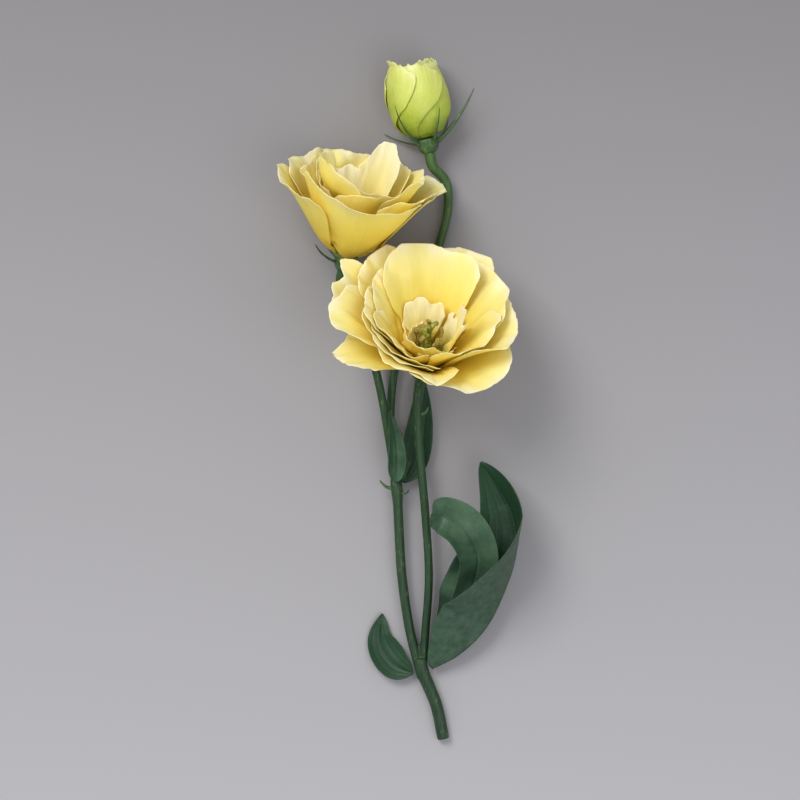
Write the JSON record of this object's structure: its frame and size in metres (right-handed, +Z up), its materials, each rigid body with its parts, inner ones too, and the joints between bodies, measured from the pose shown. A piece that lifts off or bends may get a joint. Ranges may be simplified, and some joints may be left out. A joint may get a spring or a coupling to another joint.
{
  "type": "lisianthus flower",
  "caption": "Cut spray of a double lisianthus, laid down: a forked leafy stem with an open cream-yellow bloom, a cup-shaped bloom behind it and a green bud.",
  "frame": {"origin": "middle of the spray's footprint, on the surface that it lies on", "axes": "+Y runs from the cut end of the stem to the bud, +Z is up, away from the surface, and +X is to the right of the stem seen from above"},
  "size_m": [0.098, 0.2773, 0.0683],
  "materials": {
    "stem": "smooth fresh green stem with fine pale flecks",
    "calyx": "satin green sepals",
    "petal": "soft matt petals, cream at the rim and golden towards the base",
    "bud": "satin yellow-green wound petals",
    "pistil": "olive green ovary with a yellow-green stigma",
    "stamen": "dusty yellow-orange anthers on pale filaments",
    "leaf": "waxy blue-green leaf with a grey bloom"
  },
  "bodies": {
    "root": {"stem": "stem", "calyx_front": "calyx", "calyx_back": "calyx", "calyx_bud": "calyx", "petals_front": "petal", "petals_back": "petal", "petals_bud": "bud", "pistil_front": "pistil", "pistil_back": "pistil", "stamens_front": "stamen", "stamens_back": "stamen", "leaf_upper_grey": "leaf", "leaf_upper_dark": "leaf", "leaf_lower_left": "leaf", "leaf_lower_right": "leaf", "leaf_lower_inner": "leaf"}
  },
  "joints": []
}
